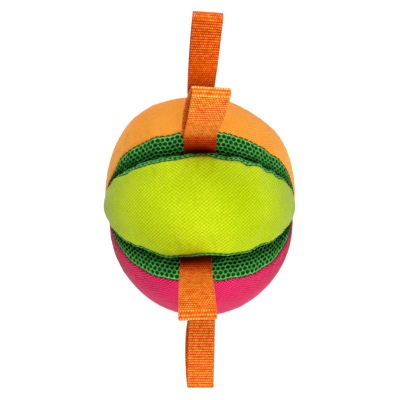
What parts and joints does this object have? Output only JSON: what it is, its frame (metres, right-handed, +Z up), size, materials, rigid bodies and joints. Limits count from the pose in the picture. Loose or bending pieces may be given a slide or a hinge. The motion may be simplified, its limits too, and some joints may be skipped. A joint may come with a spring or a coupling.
{
  "type": "segmented fabric tug ball with webbing loops",
  "caption": "Stuffed fabric ball of padded wedge segments with mesh sides sewn round one spine, and a folded webbing grab loop in each groove.",
  "frame": {"origin": "centre of the pressed-flat patch under the ball, on the surface it lies on", "axes": "+Z up; X along the spine that the segments are sewn round; +Y towards the side whose loop leans up"},
  "size_m": [0.1438, 0.2648, 0.2],
  "materials": {
    "lime_fabric": "woven polyester oxford, soft sheen",
    "orange_fabric": "fine woven polyester, soft sheen",
    "pink_fabric": "woven polyester oxford",
    "lime_thread": "twisted polyester thread",
    "orange_thread": "twisted polyester thread",
    "pink_thread": "twisted polyester thread",
    "green_mesh": "matt air mesh with open cells",
    "orange_webbing": "coarse woven webbing",
    "core_binding": "matt woven tape",
    "fibre_filling": "matt fibre"
  },
  "bodies": {
    "ball": {"core_binding": "core_binding", "lime_top_outer_panel": "lime_fabric", "lime_top_mesh_side_a": "green_mesh", "lime_top_mesh_side_b": "green_mesh", "lime_top_filling": "fibre_filling", "lime_top_seam_thread": "lime_thread", "orange_rear_outer_panel": "orange_fabric", "orange_rear_mesh_side_a": "green_mesh", "orange_rear_mesh_side_b": "green_mesh", "orange_rear_filling": "fibre_filling", "orange_rear_seam_thread": "orange_thread", "pink_rear_outer_panel": "pink_fabric", "pink_rear_mesh_side_a": "green_mesh", "pink_rear_mesh_side_b": "green_mesh", "pink_rear_filling": "fibre_filling", "pink_rear_seam_thread": "pink_thread", "lime_bottom_outer_panel": "lime_fabric", "lime_bottom_mesh_side_a": "green_mesh", "lime_bottom_mesh_side_b": "green_mesh", "lime_bottom_filling": "fibre_filling", "lime_bottom_seam_thread": "lime_thread", "orange_front_outer_panel": "orange_fabric", "orange_front_mesh_side_a": "green_mesh", "orange_front_mesh_side_b": "green_mesh", "orange_front_filling": "fibre_filling", "orange_front_seam_thread": "orange_thread", "pink_front_outer_panel": "pink_fabric", "pink_front_mesh_side_a": "green_mesh", "pink_front_mesh_side_b": "green_mesh", "pink_front_filling": "fibre_filling", "pink_front_seam_thread": "pink_thread", "top_rear_strap_root": "orange_webbing", "rear_strap_root": "orange_webbing", "bottom_rear_strap_root": "orange_webbing", "bottom_front_strap_root": "orange_webbing", "front_strap_root": "orange_webbing", "top_front_strap_root": "orange_webbing"},
    "top_rear_loop": {"top_rear_strap_loop": "orange_webbing"},
    "rear_loop": {"rear_strap_loop": "orange_webbing"},
    "bottom_rear_loop": {"bottom_rear_strap_loop": "orange_webbing"},
    "bottom_front_loop": {"bottom_front_strap_loop": "orange_webbing"},
    "front_loop": {"front_strap_loop": "orange_webbing"},
    "top_front_loop": {"top_front_strap_loop": "orange_webbing"}
  },
  "joints": [
    {"name": "top_rear_loop_bend", "type": "hinge", "parent": "ball", "child": "top_rear_loop", "pos_m": [0, 0.042, 0.15075], "axis": [-1, 0, 0], "range_deg": [-64, 85], "stiffness_Nm_per_rad": 0.02},
    {"name": "rear_loop_bend", "type": "hinge", "parent": "ball", "child": "rear_loop", "pos_m": [0, 0.084, 0.078], "axis": [-1, 0, 0], "range_deg": [-22, 110], "stiffness_Nm_per_rad": 0.02},
    {"name": "bottom_rear_loop_bend", "type": "hinge", "parent": "ball", "child": "bottom_rear_loop", "pos_m": [0, 0.042, 0.00525], "axis": [-1, 0, 0], "range_deg": [-17.5, 0], "stiffness_Nm_per_rad": 0.02},
    {"name": "bottom_front_loop_bend", "type": "hinge", "parent": "ball", "child": "bottom_front_loop", "pos_m": [0, -0.042, 0.00525], "axis": [-1, 0, 0], "range_deg": [0, 17.5], "stiffness_Nm_per_rad": 0.02},
    {"name": "front_loop_bend", "type": "hinge", "parent": "ball", "child": "front_loop", "pos_m": [0, -0.084, 0.078], "axis": [-1, 0, 0], "range_deg": [-75, 75], "stiffness_Nm_per_rad": 0.02},
    {"name": "top_front_loop_bend", "type": "hinge", "parent": "ball", "child": "top_front_loop", "pos_m": [0, -0.042, 0.15075], "axis": [-1, 0, 0], "range_deg": [-86, 63], "stiffness_Nm_per_rad": 0.02}
  ]
}
